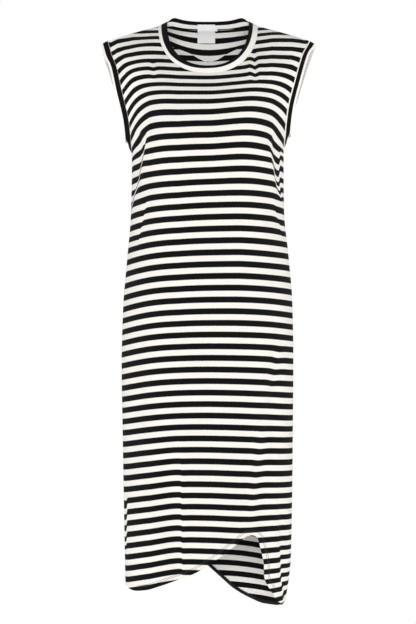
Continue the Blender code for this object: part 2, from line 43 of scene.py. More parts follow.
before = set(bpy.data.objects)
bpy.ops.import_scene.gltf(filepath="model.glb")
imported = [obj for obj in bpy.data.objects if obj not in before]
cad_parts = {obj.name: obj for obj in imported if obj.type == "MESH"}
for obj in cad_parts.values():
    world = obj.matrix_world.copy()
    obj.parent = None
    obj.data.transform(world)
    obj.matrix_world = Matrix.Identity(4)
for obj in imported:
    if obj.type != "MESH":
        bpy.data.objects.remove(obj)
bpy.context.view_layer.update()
MM = 0.001

# Neck, seen from the front. It is a superellipse that hangs from the two neck points.
NECK_HALF_WIDTH = 102.0
NECK_ROUNDNESS = 2.2
ABOVE_SHOULDERS = 60.0
FRONT_NECK_BOTTOM, BACK_NECK_BOTTOM = -92.5, 13.5
# The back neck's rise beside the neck points: how near to them it lies, and how fast it falls off.
NECK_RISE_POWER, NECK_RISE_FALL = 3.0, 1.4
# The levels of the underarm and of the lowest stripe.
UNDERARM, LOWEST = 11.7, 55.0
# The camera's distance and height. Heights and widths "as seen" are those of the plane through the shoulders.
SEEN_FROM, SEEN_HEIGHT = 4500.0, -572.0
SEAM_GAP = 0.3
STRIPE_PITCH = 23.3

# Middle of each panel: level, y, z, how full the section is there (1 is an arc, 0.5 a half ellipse).
MIDDLE_COLUMNS = ("level", "y", "z", "fullness")
FRONT_MIDDLE = (
    (-2, 22, 33, 1), (1, -25, -11, 1), (3, -55, -46, 1), (6, -100, -99, 1), (9, -135, -150, 0.85),
    (10.5, -145, -183, 0.7), (11.4, -149, -204, 0.56), (11.7, -150, -211, 0.5), (14, -152, -265, 0.5),
    (18, -146, -358, 0.5), (26, -141, -545, 0.5), (37, -125, -800, 0.5), (49, -102, -1071, 0.5),
    (55, -90, -1203, 0.5),
)
BACK_MIDDLE = (
    (-0.85, 22, 33, 1), (1, 54, 3, 1), (3, 70, -40, 1), (6, 83, -105, 1), (9, 91, -171, 0.85),
    (10.5, 92, -204, 0.7), (11.4, 92, -224, 0.56), (11.7, 92, -231, 0.5), (14, 90, -281, 0.5),
    (18, 84, -369, 0.5), (26, 82, -545, 0.5), (37, 96, -786, 0.5), (49, 88, -1050, 0.5),
    (55, 84, -1182, 0.5),
)

# Armhole edges and side seams: level, x, y, z, the black stripe that meets the edge there.
EDGE_COLUMNS = ("level", "x", "y", "z", "stripe")
FRONT_ARMHOLE_LEFT = (
    (-2, -205, 0, -16, 0.7), (1, -195, -19, -50, 2.1), (3, -187, -32, -70, 3), (6, -174, -50, -126, 6),
    (9, -160, -47, -189, 9), (10.5, -157, -37, -221, 10.5), (11.4, -156, -18, -240, 11.4),
    (11.7, -156, 0, -246, 11.7),
)
FRONT_ARMHOLE_RIGHT = (
    (-2, 207, 0, -16, 1.8), (1, 200, -13, -30, 2.5), (3, 193, -22, -43, 3), (6, 175, -48, -103, 6),
    (9, 160, -48, -167, 9), (10.5, 156, -38, -207, 10.5), (11.4, 155, -18, -230, 11.4),
    (11.7, 155, 0, -236, 11.7),
)
BACK_ARMHOLE_LEFT = (
    (-0.85, -205, 0, -16, 0.7), (1, -198, 19, -46, 2.1), (3, -189, 33, -78, 3.5), (6, -173, 46, -134, 6.1),
    (9, -159, 44, -192, 9), (10.5, -156, 33, -223, 10.5), (11.4, -156, 16, -240, 11.4),
    (11.7, -156, 0, -246, 11.7),
)
BACK_ARMHOLE_RIGHT = (
    (-0.85, 207, 0, -16, 1.8), (1, 199, 19, -40, 2.7), (3, 190, 33, -70, 3.7), (6, 173, 46, -126, 6.2),
    (9, 158, 44, -180, 9), (10.5, 156, 33, -211, 10.5), (11.4, 155, 16, -230, 11.4),
    (11.7, 155, 0, -236, 11.7),
)
SIDE_SEAM_LEFT = (
    (11.7, -156, 0, -246, 11.7), (14, -156, 0, -281, 14), (18, -158, 0, -371, 18), (22, -166, 0, -468, 22),
    (26, -174, 0, -565, 26), (31, -177, 0, -681, 31), (37, -175, 0, -817, 37), (49, -170, 0, -1093, 49),
    (55, -167, 0, -1230, 55),
)
SIDE_SEAM_RIGHT = (
    (11.7, 155, 0, -236, 11.7), (14, 155, 0, -279, 14), (18, 156, 0, -365, 18), (22, 165, 0, -457, 22),
    (26, 173, 0, -555, 26), (31, 175, 0, -671, 31), (37, 174, 0, -807, 37), (49, 170, 0, -1071, 49),
    (53.6, 159, 0, -1163, 53.6), (55, 154, 0, -1190, 55),
)

# How the stripes run between the middle and an edge: the power by which they droop to it, and how far they
# rise first, on the left and on the right.
DROOP_COLUMNS = ("level", "power", "rise_left", "rise_right")
FRONT_DROOP = (
    (-2, 1.5, 0, 0), (1, 3.5, 0, 3), (3, 7, 0, 5), (6, 9, 3, 8), (9, 7.5, 2, 7), (11.7, 6, -2, 5),
    (14, 4, 0, 3), (18, 3, 0, 1), (26, 2.7, 0, 0), (55, 2.5, 0, 0),
)
BACK_DROOP = (
    (-0.85, 1.5, 0, 0), (3, 3, 0, 0), (9, 4, 0, 0), (14, 3.5, 0, 0), (55, 2, 0, 0),
)
RISE_ENDS = 0.62  # the share of the half width where the rise is complete
SECTION_ROUNDNESS = 2.25  # 2 is an ellipse, and more is fuller at the corners

# Folds, as lines seen from the front: depth is positive for a ridge and negative for a trough.
FOLD_COLUMNS = ("x0", "z0", "x1", "z1", "width", "depth")
FRONT_FOLDS = (
    (-137, -205, -151, -330, 9, -9), (133, -205, 151, -345, 9, -9), (-119, -215, -137, -330, 14, 3),
    (118, -210, 139, -345, 14, 3), (-134, -660, -160, -950, 15, -4), (146, -640, 92, -1010, 20, -6),
    (118, -640, 64, -980, 24, 3), (-52, -800, -50, -1130, 12, 3), (-76, -790, -80, -1130, 17, -4),
    (151, -930, 154, -1160, 8, -5), (10, -820, 14, -1120, 26, -2.5), (-123, -211, -137, -295, 2.5, -2.5),
    (-137, -290, -150, -350, 2.5, -2), (120, -212, 132, -286, 2.5, -2.5), (132, -280, 146, -345, 2.5, -2),
    (-121, -342, -139, -439, 4, -1.5), (133, -349, 149, -439, 4, -1.5), (94, -42, 97, -109, 3.5, -2),
    (-112, -60, -109, -100, 5, -1),
)
BACK_FOLDS = (
    (-60, -250, -95, -900, 26, -7), (-20, -380, -28, -1100, 28, 5), (52, -300, 78, -1000, 26, -7),
    (118, -420, 128, -1120, 24, 5), (-132, -230, -150, -420, 14, -6), (130, -225, 148, -410, 14, -6),
    (12, -700, 26, -1110, 22, -5), (-120, -500, -132, -1080, 22, 4),
)
SEAM_HOLD = 10.0  # the power by which folds die out at a panel's sides
FOLD_START, FOLD_END = (-0.05, 0.3), (0.7, 1.05)  # where a fold swells and dies, in shares of its length

# How far the front's stripes lie off the even count, in stripes: z as seen, then a shift at each x of TRIM_X.
TRIM_X = (-154, -119, -61, 0, 66, 131, 146)
STRIPE_TRIM = (
    (-6, 0.15, 0.24, -0.2, -0.2, -0.2, 0.36, 0.36), (-39, 0.05, 0.08, -0.2, -0.2, -0.2, 0.21, 0.2),
    (-72, 0, 0, -0.21, -0.21, -0.21, 0.02, 0), (-121, -0.08, -0.06, -0.2, -0.16, -0.15, -0.02, -0.02),
    (-160, -0.15, 0, -0.15, -0.13, -0.05, 0.02, -0.03), (-207, -0.3, 0, -0.12, -0.12, -0.04, 0.03, -0.2),
    (-240, 0, -0.08, -0.17, -0.12, -0.02, -0.02, -0.2), (-265, 0.1, -0.16, -0.19, -0.1, 0, 0.1, -0.2),
    (-291, -0.2, -0.18, -0.2, -0.1, 0, 0.07, -0.05), (-322, -0.37, -0.18, -0.2, -0.09, -0.02, 0.05, 0),
    (-353, -0.22, -0.18, -0.2, -0.09, -0.02, 0.02, -0.03),
    (-449, -0.18, -0.16, -0.17, -0.1, -0.04, -0.1, -0.1),
    (-547, -0.13, -0.12, -0.16, -0.11, -0.07, -0.05, -0.05),
    (-642, -0.07, -0.07, -0.1, -0.08, -0.08, -0.05, -0.05),
    (-783, -0.08, -0.08, -0.06, -0.05, -0.1, -0.15, -0.15),
    (-923, -0.12, -0.12, 0, -0.07, -0.14, -0.13, -0.13),
    (-1015, -0.12, -0.12, 0.03, -0.06, -0.18, -0.06, -0.06),
    (-1111, -0.12, -0.12, 0.1, -0.05, -0.18, -0.08, -0.08),
)

# What the shoulders add to that table, at each x of SHOULDER_X.
SHOULDER_X = (-199, -186, -172, -154, -119, 119, 146, 172, 188, 198)
SHOULDER_TRIM = (
    (-2, -0.25, 0.05, 0.1, 0.3, 0, 0, 0.08, 0.08, -0.02, -0.25),
    (-14, -0.22, 0.14, 0.3, 0.38, 0, 0, 0.08, 0.08, -0.06, -0.25),
    (-31, -0.1, 0.28, 0.36, 0.22, 0, 0, 0.05, 0.08, 0, -0.1),
    (-47, 0.1, 0.34, 0.36, 0.14, 0, 0, 0.06, 0.16, 0.1, 0),
    (-65, 0.2, 0.3, 0.29, 0.16, 0, 0, 0.09, 0.18, 0.12, 0.1),
    (-86, 0.1, 0.2, 0.1, 0.14, 0, 0, 0.08, 0.1, 0.1, 0.1),
    (-107, 0, 0, -0.04, 0.09, 0, 0, 0.02, 0.04, 0, 0), (-130, 0, 0, 0, 0, 0, 0, 0, 0, 0, 0),
)

# Creases under the arms that swallow stripes. Each has the side of it that shifts, -1 for its left, and then
# x and z as seen and how many stripes are lost there.
STRIPE_STEPS = (
    (-1, ((-126, -202, 0), (-130, -233, 0.5), (-137, -265, 1),
          (-141, -288, 1), (-152, -338, 1), (-158, -366, 1))),
    (-1, ((-125, -334, 0), (-129, -359, 0.12), (-139, -408, 0.15), (-144, -440, 0))),
    (1, ((124, -203, 0), (132, -251, 0.3), (136, -279, 0.6),
         (140, -300, 0.85), (147, -330, 0.5), (151, -345, 0))),
    (1, ((149, -236, 0), (149, -256, -0.5), (149, -300, -0.55), (150, -325, -0.4), (152, -352, 0))),
    (1, ((137, -345, 0), (140, -370, 0.12), (148, -396, 0.15), (153, -430, 0))),
    (-1, ((-166, -945, 0), (-166, -970, 0.45), (-167, -1040, 0.45), (-168, -1065, 0))),
    (1, ((-55, -860, 0), (-55, -930, 0.06), (-53, -1100, 0.08), (-53, -1140, 0))),
    (1, ((149, -1040, 0), (150, -1070, -0.2), (151, -1115, -0.45), (154, -1150, -0.5), (158, -1175, 0))),
)
STEP_WIDTH = 1.2  # how far to each side of its line a crease shifts the stripes gradually

# Puckers that draw the stripes down: two ends as seen, how wide, and by how many stripes.
PUCKER_COLUMNS = ("x0", "z0", "x1", "z1", "width", "drop")
PUCKERS = (
    (94, -30, 98, -105, 5.5, 0.17), (84, -50, 86, -100, 4.5, -0.07), (-114, -50, -110, -100, 7, 0.1),
    (150, -630, 130, -742, 10, 0.08), (118, -790, 84, -1030, 14, 0.1), (96, -1040, 106, -1120, 5, 0.2),
)

# Hems, seen from the front: x, z, left to right.
FRONT_HEM = (
    (-168, -1124), (-163, -1133), (-150, -1137), (-127, -1134), (-97, -1124), (-56, -1108),
    (-26, -1096), (-4, -1083), (20, -1067), (44, -1049), (66, -1031), (78, -1022),
    (87, -1020), (97, -1023), (103, -1036), (107, -1053), (111, -1069), (113, -1083),
    (113, -1098), (115, -1112), (121, -1125), (129, -1138), (136, -1150), (143, -1160),
    (150, -1164), (158, -1161),
)
BACK_HEM = (
    (-168, -1131), (-160, -1136), (-146, -1137), (-133, -1128), (-122, -1113), (-114, -1092),
    (-110, -1072), (-106, -1052), (-99, -1037), (-88, -1031), (-76, -1036), (-60, -1049),
    (-42, -1065), (-20, -1084), (-2, -1100), (25, -1124), (56, -1150), (88, -1167),
    (118, -1177), (141, -1178), (153, -1174), (159, -1163),
)
HEM_STEEPNESS = 0.4  # how much a hem's rise counts, against its run, when columns are shared out
HEM_EASE = 0.7  # the share of the skirt where the columns start to lean to their places on the hem
# The stitches along the front's hem: how far up their rows lie, and how many columns they stop short of the
# seams. STITCH_SINK is how deep a stitch's foot lies in the cloth.
# The stitches are real; their near-black thread is painted shade for the groove along them.
HEM_STITCH_ROWS = (8.0, 11.0)
HEM_STITCH_ENDS = 12
STITCH_PITCH, STITCH_LENGTH, STITCH_WIDTH, STITCH_HEIGHT, STITCH_SINK = 3.4, 2.6, 0.6, 0.25, 0.05

# The half-moon facing inside the back neck: x, z of its lower edge, seen from the front.
FACING_EDGE = (
    (-97, 8), (-88, -8), (-75, -21), (-56, -27), (-37, -34), (-18, -45), (0, -51),
    (18, -47), (36, -37), (54, -28), (75, -20), (88, -8), (97, 8),
)
FACING_COLUMNS, FACING_ROWS = 96, 18
FACING_DROP = 1.0  # how far the facing starts below the neck seam
LAID_GAP, LAID_THICKNESS = 0.4, 0.8  # of the facing and the tape, which lie on the back panel's inner face
# The facing's black stripes as seen: z in the middle, and how far they rise at FACING_BOW_X on the left and
# on the right.
FACING_STRIPES = ((5.5, 6.3, 4.1), (-16.7, 14.0, 7.4), (-40.8, 18.4, 13.5))
FACING_BOW_X = 75.0

# The tape inside the back's hem: how far its upper and its lower edge lie above the hem.
TAPE_TOP, TAPE_FOOT, TAPE_ROWS = 7.0, 0.2, 8

# The way each band stands off its panel: place round the loop, and x, y, z of its direction. On an armhole, x
# runs out of the dress and y towards the middle of the armhole.
NECK_STAND = {"front": (0, 0.30, 0.95), "side": (0.89, 0, 0.46), "back": (0, -0.15, 0.99)}
ARMHOLE_STAND = {"shoulder": (0.86, 0, -0.5), "middle": (0.9, 0.42, -0.05), "underarm": (0.45, 0, 0.89)}
# Where down an armhole those directions change, and how fast the neck's side direction gives way.
SHOULDER_TURN, UNDERARM_TURN = (0, 0.35), (0.88, 1)
FRONT_HEEL, BACK_HEEL = 1.5, 3.0
# The sag of the back's stripes, in stripes, its width, and the depths where it dies out.
BACK_SAG, BACK_SAG_WIDTH, BACK_SAG_END = 0.22, 60.0, (90, 200)
BAND_LAYER = 0.8  # the thickness of each of a folded band's two layers
BAND_WIDTH = 17.0
NECK_SIDE_EXTRA, NECK_BACK_LESS = 0.2, 0.09  # how much wider and narrower the neck band is there, as shares
# Round the neck, from the left neck point along the front and back again: where the black starts.
NECK_WHITE = ((0, 5.7), (0.1, 6.0), (0.25, 10.3), (0.38, 10.7), (0.5, 9.0), (0.75, 8.3), (1, 5.7))
BACK_BAND_BLACK = 8.0  # how far the black comes down inside
# Where an armhole band's black starts (1 mm less on the left and more on the right) and ends.
ARMHOLE_WHITE, ARMHOLE_BLACK = 1.3, 11.5

# The neck label and the size tab: x of the middle, z of the top and the bottom, and the width.
NECK_LABEL = (-3.5, (25.0, -13.0), 36.5)
SIZE_TAB = (13.5, (21.0, 11.0), 12.0)
LABEL_THICKNESS = 0.5
TAB_COLUMNS, TAB_ROWS = 12, 30

ROW_CROWDING = 0.55  # how much closer the yoke's rows lie at its top and at the underarm
TURN_STEP, LEVEL_STEP = 0.002, 0.02  # steps along a panel that give its normals
SIDE_TURN, RIDGE_REACH = 0.9999, 1e-6  # past these, a point counts as lying on a seam
LOCATE_STEPS, LOCATE_PACE = 80, 0.6  # how often and how fast a point's level is corrected
FINE = 2400  # points along a curve before it is shared out
CREASE_ANGLE = 55.0  # degrees, past which an edge is shaded sharp

# The jersey: how softly its stripes end and how far they wander, in stripes on a panel and in mm on a band.
# Then the painted shade in the white, soft random patches where it is a little darker, and the lint on the
# black.
STRIPE_SOFTNESS, BAND_SOFTNESS = 0.02, 0.25
WANDER, WANDER_SCALE, BAND_WANDER = 0.05, 900, 10.0
PAINTED_SHADE_SCALE, PAINTED_SHADE_RANGE, PAINTED_SHADE_DARK = 14, (0.3, 0.75), 0.965
LINT_SCALE, LINT_RANGE, LINT_SHARE, LINT_LIGHT = 2600, (0.55, 0.8), 0.3, 3.2
KNIT_WALES = 0.35
PANEL_BUMP, BAND_BUMP, WEAVE_BUMP = 0.5, 0.25, 0.6

# The stage, in metres: each lamp's name, place, size and the setting that holds its power.
LAMPS = (
    ("lamp_front", (0.0, -5.6, 0.2), 4.0, "front_light"),
    ("lamp_left", (-4.5, -0.4, -0.3), 3.0, "softbox"),
    ("lamp_right", (4.5, -0.4, -0.3), 3.0, "softbox"),
    ("lamp_back", (0.5, 4.2, 1.0), 3.0, "softbox"),
)
LAMP_TARGET = (0, 0, -0.55)
FLOOR_SIZE = 9.0
CAMERA_SENSOR, CAMERA_LENS = 36.0, 126.64  # in millimetres


def monotone(xs, ys, x):
    """Reads a smooth curve through the points at x, with no overshoot between them."""
    xs, ys = np.asarray(xs, float), np.asarray(ys, float)
    step = np.diff(xs)
    slope = np.diff(ys) / step
    tangent = np.zeros(len(xs))
    tangent[0], tangent[-1] = slope[0], slope[-1]
    same_way = slope[:-1] * slope[1:] > 0
    before, after = 2 * step[1:] + step[:-1], step[1:] + 2 * step[:-1]
    with np.errstate(divide="ignore", invalid="ignore"):
        mean = (before + after) / (before / slope[:-1] + after / slope[1:])
    tangent[1:-1] = np.where(same_way, mean, 0)
    x = np.clip(x, xs[0], xs[-1])
    i = np.clip(np.searchsorted(xs, x, side="right") - 1, 0, len(xs) - 2)
    t = (x - xs[i]) / step[i]
    start = (1 + 2 * t) * (1 - t) ** 2 * ys[i] + t * (1 - t) ** 2 * step[i] * tangent[i]
    end = t**2 * (3 - 2 * t) * ys[i + 1] + t**2 * (t - 1) * step[i] * tangent[i + 1]
    return start + end


def read(table, columns, name, x):
    """One named column of a table, at level x."""
    place = columns.index(name)
    return monotone([row[0] for row in table], [row[place] for row in table], x)


def smoothstep(low, high, x):
    """An even ramp from 0 at low to 1 at high."""
    t = np.clip((x - low) / (high - low), 0, 1)
    return t * t * (3 - 2 * t)


def running(steps):
    """Running totals of some steps, from 0."""
    return np.concatenate([[0], np.cumsum(steps)])


def unit(vectors):
    return vectors / np.linalg.norm(vectors, axis=-1, keepdims=True)


FRONT = {
    "middle": FRONT_MIDDLE,
    "armholes": (FRONT_ARMHOLE_LEFT, FRONT_ARMHOLE_RIGHT),
    "droop": FRONT_DROOP,
    "folds": FRONT_FOLDS,
    "hem": FRONT_HEM,
    "ridge": -2.0,
    "neck_bottom": FRONT_NECK_BOTTOM,
    "neck_rise": 0.0,
    "outward": -1,
}
BACK = {
    "middle": BACK_MIDDLE,
    "armholes": (BACK_ARMHOLE_LEFT, BACK_ARMHOLE_RIGHT),
    "droop": BACK_DROOP,
    "folds": BACK_FOLDS,
    "hem": BACK_HEM,
    "ridge": -0.85,
    "neck_bottom": BACK_NECK_BOTTOM,
    "neck_rise": 4.0,
    "outward": 1,
}


def as_grid(turn, level):
    """Turns and levels as two arrays of one shape."""
    return np.broadcast_arrays(np.asarray(turn, float), np.asarray(level, float))


def edge(panel, side, level, name):
    """A column of the armhole above the underarm and of the side seam below it. side is 0 left or 1 right."""
    armhole = read(panel["armholes"][side], EDGE_COLUMNS, name, np.minimum(level, UNDERARM))
    seam = read((SIDE_SEAM_LEFT, SIDE_SEAM_RIGHT)[side], EDGE_COLUMNS, name, np.maximum(level, UNDERARM))
    return np.where(level < UNDERARM, armhole, seam)


def side_reader(panel, turn, level):
    """A function that reads a column of whichever edge each point lies nearer."""
    return lambda name: np.where(turn < 0, edge(panel, 0, level, name), edge(panel, 1, level, name))


def smooth_panel(panel, turn, level):
    """Points of the panel without its folds. Their last axis is x, y, z."""
    turn, level = as_grid(turn, level)
    across = np.sin(turn * math.pi / 2)
    share = np.abs(across)
    side = side_reader(panel, turn, level)
    left_x, right_x = edge(panel, 0, level, "x"), edge(panel, 1, level, "x")
    x = (left_x + right_x) / 2 + across * (right_x - left_x) / 2
    fullness = read(panel["middle"], MIDDLE_COLUMNS, "fullness", level)
    bulge = np.maximum(1 - share**SECTION_ROUNDNESS, 0) ** fullness
    y = side("y") + (read(panel["middle"], MIDDLE_COLUMNS, "y", level) - side("y")) * bulge
    rise = np.where(
        turn < 0,
        read(panel["droop"], DROOP_COLUMNS, "rise_left", level),
        read(panel["droop"], DROOP_COLUMNS, "rise_right", level),
    )
    droop = share ** read(panel["droop"], DROOP_COLUMNS, "power", level)
    middle_z = read(panel["middle"], MIDDLE_COLUMNS, "z", level)
    z = middle_z + rise * smoothstep(0, RISE_ENDS, share) + (side("z") - middle_z - rise) * droop
    y = y + panel["outward"] * SEAM_GAP / 2
    return np.stack([x, y, z], -1)


def as_seen(points):
    """x and z of points as the camera sees them, at the scale of the plane through the shoulders."""
    scale = 1 + points[..., 1] / SEEN_FROM
    return points[..., 0] / scale, SEEN_HEIGHT + (points[..., 2] - SEEN_HEIGHT) / scale


def table_shift(table, table_x, x, z):
    """The shift of the front's stripes from a table, straight between its rows and columns."""
    rows = [-row[0] for row in table]
    columns = np.stack([np.interp(-z, rows, values) for values in list(zip(*table))[1:]])
    place = np.interp(x, table_x, range(len(table_x)))
    left = np.minimum(place.astype(int), len(table_x) - 2)[None]
    at_left, at_right = (np.take_along_axis(columns, at, 0)[0] for at in (left, left + 1))
    return at_left + (at_right - at_left) * (place - left[0])


def line_fall(row, names, x, z):
    """How near each point is to a line, 1 on it and 0 away from it, and the line's own values."""
    line = dict(zip(names, row))
    run = np.array([line["x1"] - line["x0"], line["z1"] - line["z0"]], float)
    off_x, off_z = x - line["x0"], z - line["z0"]
    along = (off_x * run[0] + off_z * run[1]) / (run @ run)
    off = (off_x * run[1] - off_z * run[0]) / np.hypot(*run)
    ends = smoothstep(*FOLD_START, along) * (1 - smoothstep(*FOLD_END, along))
    return ends * np.exp(-((off / line["width"]) ** 2)), line


def stripe_shift(points):
    """How far the tables, the creases and the puckers shift the front's stripes."""
    x, z = as_seen(points)
    shift = table_shift(STRIPE_TRIM, TRIM_X, x, z) + table_shift(SHOULDER_TRIM, SHOULDER_X, x, z)
    for side, line in STRIPE_STEPS:
        line_x, line_z, lost = (np.array(values) for values in zip(*line))
        amount = np.interp(-z, -line_z, lost, left=0, right=0)
        off = (x - np.interp(-z, -line_z, line_x)) * side
        shift = shift - amount * smoothstep(-STEP_WIDTH, STEP_WIDTH, off)
    for row in PUCKERS:
        near, line = line_fall(row, PUCKER_COLUMNS, x, z)
        shift = shift - near * line["drop"]
    return shift


def stripe_count(panel, turn, level):
    """The count of black stripes at each point, a whole number in a black stripe's middle."""
    turn, level = as_grid(turn, level)
    droop = np.abs(np.sin(turn * math.pi / 2)) ** read(panel["droop"], DROOP_COLUMNS, "power", level)
    count = level + (side_reader(panel, turn, level)("stripe") - level) * droop
    points = smooth_panel(panel, turn, level)
    if panel is FRONT:
        return count + stripe_shift(points)
    sag = np.exp(-((points[..., 0] / BACK_SAG_WIDTH) ** 2)) * (1 - smoothstep(*BACK_SAG_END, -points[..., 2]))
    return count - BACK_SAG * sag


def outward_normal(panel, turn, level):
    """Unit normals of the smooth panel, pointing out of the dress."""
    turn, level = as_grid(turn, level)
    low, high = np.maximum(turn - TURN_STEP, -1), np.minimum(turn + TURN_STEP, 1)
    along = smooth_panel(panel, high, level) - smooth_panel(panel, low, level)
    down = smooth_panel(panel, turn, level + LEVEL_STEP) - smooth_panel(panel, turn, level - LEVEL_STEP)
    return unit(np.cross(down, along)) * -panel["outward"]


def fold_height(panel, points, turn):
    """How far the folds raise the panel at these points."""
    height = np.zeros(points.shape[:-1])
    for row in panel["folds"]:
        near, fold = line_fall(row, FOLD_COLUMNS, points[..., 0], points[..., 2])
        height += fold["depth"] * near
    across = np.abs(np.sin(turn * math.pi / 2))
    return height * (1 - across**SEAM_HOLD)


def panel_point(panel, turn, level, inward=0.0):
    """Points on the panel with its folds, moved in from its outer face by so many millimetres."""
    turn, level = as_grid(turn, level)
    points = smooth_panel(panel, turn, level)
    normal = outward_normal(panel, turn, level)
    height = fold_height(panel, points, turn)
    at_seam = (np.abs(turn) > SIDE_TURN) | (level < panel["ridge"] + RIDGE_REACH)
    flat = unit(normal * np.array([1, 0, 1]))
    normal = np.where(at_seam[..., None], flat, normal)
    return points + normal * (height - inward)[..., None]


def locate(panel, x, z):
    """The turn and level of the point that is seen from the front at x, z."""
    x, z = np.asarray(x, float), np.asarray(z, float)
    level = np.clip(-z / STRIPE_PITCH, panel["ridge"], LOWEST)
    turn = np.zeros_like(x)
    for _ in range(LOCATE_STEPS):
        left_x, right_x = edge(panel, 0, level, "x"), edge(panel, 1, level, "x")
        across = np.clip((2 * x - left_x - right_x) / (right_x - left_x), -1, 1)
        turn = np.arcsin(across) * 2 / math.pi
        level = level + (smooth_panel(panel, turn, level)[..., 2] - z) / STRIPE_PITCH * LOCATE_PACE
        level = np.clip(level, panel["ridge"], LOWEST)
    return turn, level


def curve_through(points, count, steepness=1.0):
    """count + 1 points along a smooth curve through x, z points, shared out by its run and rise."""
    points = np.array(points, float)
    chord = np.hypot(np.diff(points[:, 0]), np.diff(points[:, 1]))
    place = running(chord)
    fine = np.linspace(0, place[-1], FINE)
    x, z = monotone(place, points[:, 0], fine), monotone(place, points[:, 1], fine)
    cost = running(np.hypot(np.diff(x), np.diff(z) * steepness))
    even = np.linspace(0, cost[-1], count + 1)
    return np.interp(even, cost, x), np.interp(even, cost, z)


def neck_curve(panel, count):
    """Turns and levels of the panel's neck edge, from its left neck point to its right one."""
    ends_turn = locate(panel, [-NECK_HALF_WIDTH, NECK_HALF_WIDTH], [ABOVE_SHOULDERS] * 2)[0]
    ends_z = smooth_panel(panel, ends_turn, panel["ridge"])[:, 2].mean()
    angle = np.linspace(-math.pi / 2, math.pi / 2, count + 1)
    power = 2 / NECK_ROUNDNESS
    x = NECK_HALF_WIDTH * np.sign(np.sin(angle)) * np.abs(np.sin(angle)) ** power
    z = ends_z + (panel["neck_bottom"] - ends_z) * np.maximum(np.cos(angle), 0) ** power
    share = np.minimum(np.abs(x) / NECK_HALF_WIDTH, 1)
    z = z + panel["neck_rise"] * np.sin(math.pi * share**NECK_RISE_POWER) ** NECK_RISE_FALL
    turn, level = locate(panel, x, z)
    turn[0], turn[-1] = ends_turn
    level[0] = level[-1] = panel["ridge"]
    return turn, level


def settings():
    """The sizes and colours that the panel shows."""
    return bpy.context.scene.tank_dress


def yoke_rows():
    """Shares of the way down the yoke, closer together at both ends."""
    down = np.linspace(0, 1, settings().yoke_rows + 1)
    return down - ROW_CROWDING * np.sin(2 * math.pi * down) / (2 * math.pi)


def panel_grid(panel):
    """Turns and levels of a panel's grid, its rows from the shoulders and neck down to the hem."""
    neck_turn, neck_level = neck_curve(panel, settings().neck_columns)
    shoulder = settings().shoulder_columns
    left = np.linspace(-1, neck_turn[0], shoulder + 1)[:-1]
    right = np.linspace(neck_turn[-1], 1, shoulder + 1)[1:]
    top_turn = np.concatenate([left, neck_turn, right])
    ridge = np.full(shoulder, panel["ridge"])
    top_level = np.concatenate([ridge, neck_level, ridge])
    columns = len(top_turn) - 1
    even_turn = np.linspace(-1, 1, columns + 1)

    hem_turn, hem_level = locate(panel, *curve_through(panel["hem"], columns, HEM_STEEPNESS))
    hem_turn[0], hem_turn[-1] = -1, 1
    for last, seam in ((0, SIDE_SEAM_LEFT), (-1, SIDE_SEAM_RIGHT)):
        z_down = [-row[EDGE_COLUMNS.index("z")] for row in seam]
        hem_level[last] = np.interp(-panel["hem"][last][1], z_down, [row[0] for row in seam])

    down = yoke_rows()[:, None]
    yoke_turn = top_turn + (even_turn - top_turn) * smoothstep(0, 1, down)
    yoke_level = top_level + (UNDERARM - top_level) * down
    down = np.linspace(0, 1, settings().skirt_rows + 1)[1:, None]
    skirt_turn = even_turn + (hem_turn - even_turn) * smoothstep(HEM_EASE, 1, down)
    skirt_level = UNDERARM + (hem_level - UNDERARM) * down
    return np.concatenate([yoke_turn, skirt_turn]), np.concatenate([yoke_level, skirt_level])


def cloth_uv(points):
    """Distances across and down a grid of points, in millimetres, for the knit to follow."""
    across = np.linalg.norm(np.diff(points, axis=1), axis=2)
    down = np.linalg.norm(np.diff(points, axis=0), axis=2)
    u = np.concatenate([np.zeros((len(points), 1)), np.cumsum(across, 1)], 1)
    v = np.concatenate([np.zeros((1, points.shape[1])), np.cumsum(down, 0)])
    return np.stack([u - u.mean(1, keepdims=True), v], -1)


def grid_faces(rows, columns, closed):
    """Faces of a closed shell of two layers of rows x columns points, and how many belong to each layer."""
    number = np.arange(rows * columns).reshape(rows, columns)
    left = number if closed else number[:, :-1]
    right = np.roll(number, -1, 1) if closed else number[:, 1:]
    a, b, c, d = left[:-1], right[:-1], right[1:], left[1:]
    under = rows * columns
    outer = np.stack([a, b, c, d], -1).reshape(-1, 4)
    inner = np.stack([a, d, c, b], -1).reshape(-1, 4) + under
    rims = [(right[0], left[0]), (left[-1], right[-1])]
    if not closed:
        rims += [(number[:-1, 0], number[1:, 0]), (number[1:, -1], number[:-1, -1])]
    rim = [np.stack([p, q, q + under, p + under], -1).reshape(-1, 4) for p, q in rims]
    return np.concatenate([outer, inner, *rim]), len(outer)


def new_piece(name, points, faces):
    """An object in the scene, made of points in millimetres and faces."""
    mesh = bpy.data.meshes.new(name)
    mesh.from_pydata((points * MM).tolist(), [], faces.tolist())
    thing = bpy.data.objects.new(name, mesh)
    bpy.context.scene.collection.objects.link(thing)
    return thing


